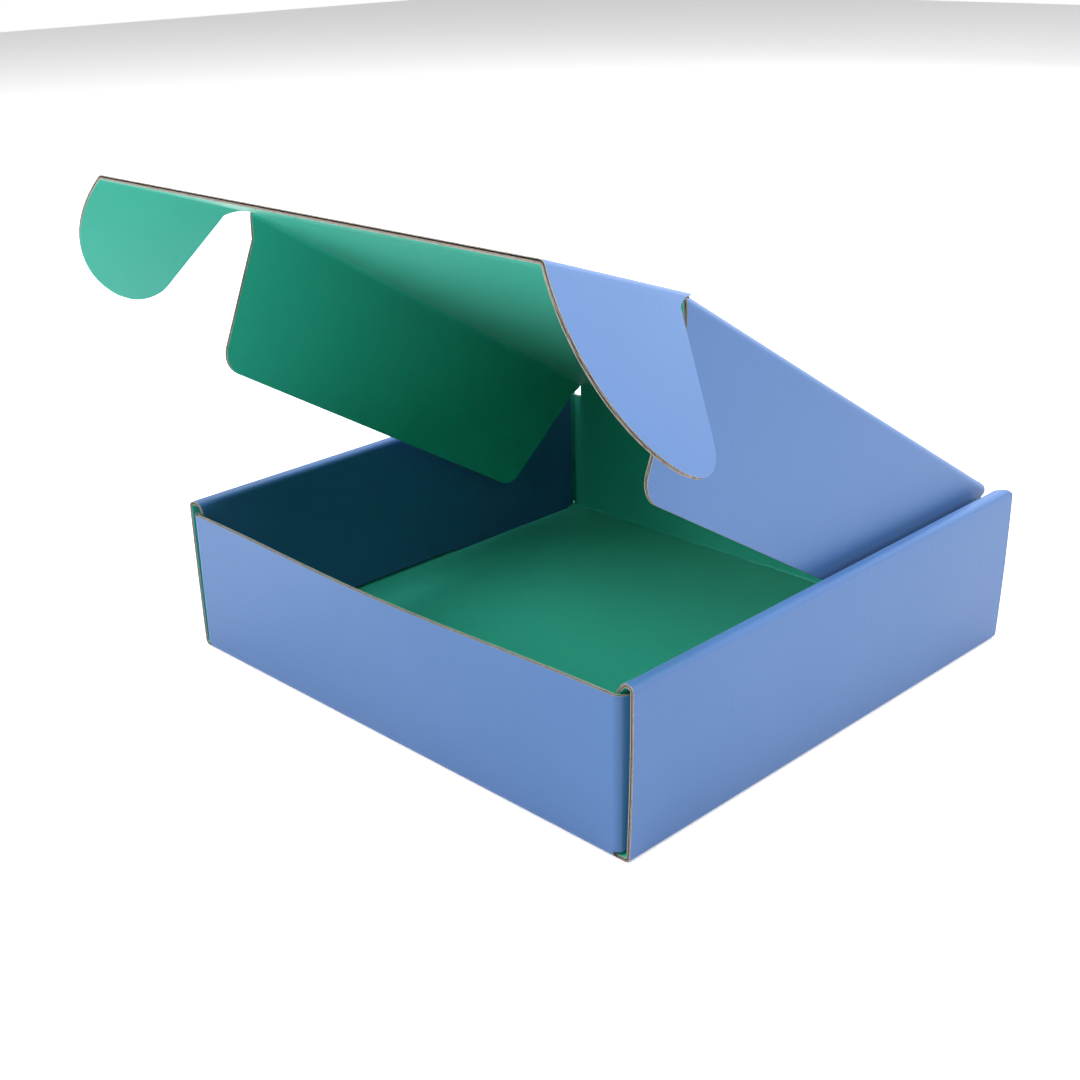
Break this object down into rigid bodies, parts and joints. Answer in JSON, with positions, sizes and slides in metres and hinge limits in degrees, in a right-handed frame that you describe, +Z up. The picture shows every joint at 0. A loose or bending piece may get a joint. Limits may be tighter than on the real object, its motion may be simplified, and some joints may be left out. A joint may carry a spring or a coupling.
{
  "type": "corrugated mailer box",
  "caption": "Folded corrugated mailer box with rolled double side walls, a hinged lid with side flaps, and a tuck flap with locking ears.",
  "frame": {"origin": "on the ground, at the middle of the tray's floor", "axes": "+X along the front wall to the right, +Y from the front wall to the lid's hinge, +Z up"},
  "size_m": [0.251, 0.2138, 0.1677],
  "materials": {
    "board": "uncoated matt ink, blue outside and green inside, bare brown cut edges"
  },
  "bodies": {
    "tray": {"tray": "board"},
    "lid": {"lid": "board"},
    "left_side_flap": {"left_side_flap": "board"},
    "right_side_flap": {"right_side_flap": "board"},
    "tuck_flap": {"tuck_flap": "board"},
    "left_lock_ear": {"left_lock_ear": "board"},
    "right_lock_ear": {"right_lock_ear": "board"}
  },
  "joints": [
    {"name": "lid_hinge", "type": "hinge", "parent": "tray", "child": "lid", "pos_m": [0, 0.0927, 0.056], "axis": [-1, 0, 0], "range_deg": [-31, 149]},
    {"name": "left_flap_fold", "type": "hinge", "parent": "lid", "child": "left_side_flap", "pos_m": [-0.093, 0.0927, 0.056], "axis": [0, -0.8572, 0.515], "range_deg": [0, 25]},
    {"name": "right_flap_fold", "type": "hinge", "parent": "lid", "child": "right_side_flap", "pos_m": [0.093, 0.0927, 0.056], "axis": [0, 0.8572, -0.515], "range_deg": [0, 25]},
    {"name": "tuck_fold", "type": "hinge", "parent": "lid", "child": "tuck_flap", "pos_m": [0, -0.06348, 0.14984], "axis": [-1, 0, 0], "range_deg": [-77.5, 12.5]},
    {"name": "left_ear_fold", "type": "hinge", "parent": "tuck_flap", "child": "left_lock_ear", "pos_m": [-0.0949, -0.06348, 0.14984], "axis": [0, 0.9483, -0.3173], "range_deg": [-42, 48]},
    {"name": "right_ear_fold", "type": "hinge", "parent": "tuck_flap", "child": "right_lock_ear", "pos_m": [0.0949, -0.06348, 0.14984], "axis": [0, -0.9483, 0.3173], "range_deg": [-33, 57]}
  ]
}
